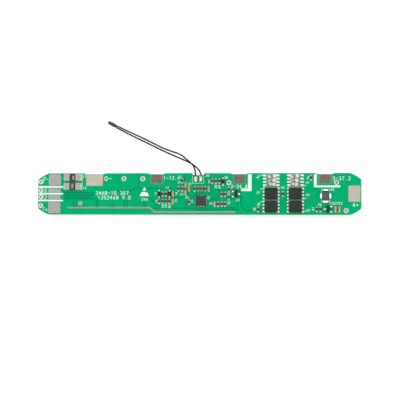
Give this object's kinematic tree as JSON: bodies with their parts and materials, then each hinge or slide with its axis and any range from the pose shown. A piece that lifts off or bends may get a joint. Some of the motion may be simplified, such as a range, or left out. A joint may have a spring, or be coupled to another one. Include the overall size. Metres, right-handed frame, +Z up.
{
  "type": "battery management board",
  "caption": "Long narrow green circuit board with solder lands, power transistors, shunts, a controller, small chips and a thermistor on two black leads.",
  "frame": {"origin": "middle of the board's underside", "axes": "+X along the board towards the positive cell land, +Y across it towards the edge that the thermistor's leads cross, +Z up from the underside to the components"},
  "size_m": [0.125, 0.0368, 0.003],
  "materials": {
    "solder_mask": "glossy green solder mask over glass-epoxy",
    "tin": "hot-air levelled tin, satin",
    "land_tin_warm": "smooth tin with a warm tint, satin",
    "land_tin_dull": "dull tin over copper",
    "solder": "bright solder",
    "ink": "white printed ink, matte",
    "moulding": "black moulding compound, matte",
    "lead_frame": "tinned lead frame",
    "alumina": "white alumina",
    "resistor_glaze": "dark protective glaze",
    "capacitor_body": "tan sintered dielectric",
    "shunt_metal": "tinned resistive alloy",
    "shunt_coat": "black coat",
    "fuse_hood": "dark moulded hood",
    "lead_sleeve": "black insulation",
    "bead_epoxy": "black epoxy, glossy"
  },
  "bodies": {
    "root": {"capacitor_caps": "lead_frame", "capacitor_cores": "capacitor_body", "chip_joints": "solder", "circuit_board": "solder_mask", "controller_body": "moulding", "controller_contacts": "lead_frame", "controller_joints": "solder", "corner_mark_high": "ink", "corner_mark_middle": "ink", "diode_bodies": "moulding", "diode_leads": "lead_frame", "fuse_cap": "fuse_hood", "fuse_joints": "solder", "fuse_plates": "lead_frame", "fuse_tile": "alumina", "land_cell_negative": "land_tin_warm", "land_cell_positive": "land_tin_warm", "land_output_negative": "tin", "land_output_positive": "tin", "land_signal_c": "tin", "land_signal_d": "tin", "land_tap_high": "land_tin_dull", "land_tap_low": "land_tin_dull", "land_tap_middle": "land_tin_dull", "lead_joints": "solder", "output_eyelets": "solder", "power_joints": "solder", "power_transistor_1_body": "moulding", "power_transistor_1_leads": "lead_frame", "power_transistor_2_body": "moulding", "power_transistor_2_leads": "lead_frame", "power_transistor_3_body": "moulding", "power_transistor_3_leads": "lead_frame", "power_transistor_4_body": "moulding", "power_transistor_4_leads": "lead_frame", "resistor_caps": "lead_frame", "resistor_coats": "resistor_glaze", "resistor_cores": "alumina", "separator_bars": "ink", "shunt_joints": "solder", "shunt_lower_coat": "shunt_coat", "shunt_lower_element": "shunt_metal", "shunt_upper_coat": "shunt_coat", "shunt_upper_element": "shunt_metal", "small_transistor_1_body": "moulding", "small_transistor_1_leads": "lead_frame", "small_transistor_2_body": "moulding", "small_transistor_2_leads": "lead_frame", "solder_rail": "tin", "spare_lands_left": "solder", "spare_lands_right": "solder", "tap_eyelets": "solder", "test_land": "tin", "thermistor_bead": "bead_epoxy", "thermistor_joint_1": "solder", "thermistor_joint_2": "solder", "thermistor_lands": "tin", "thermistor_lead_1": "lead_sleeve", "thermistor_lead_2": "lead_sleeve"}
  },
  "joints": []
}
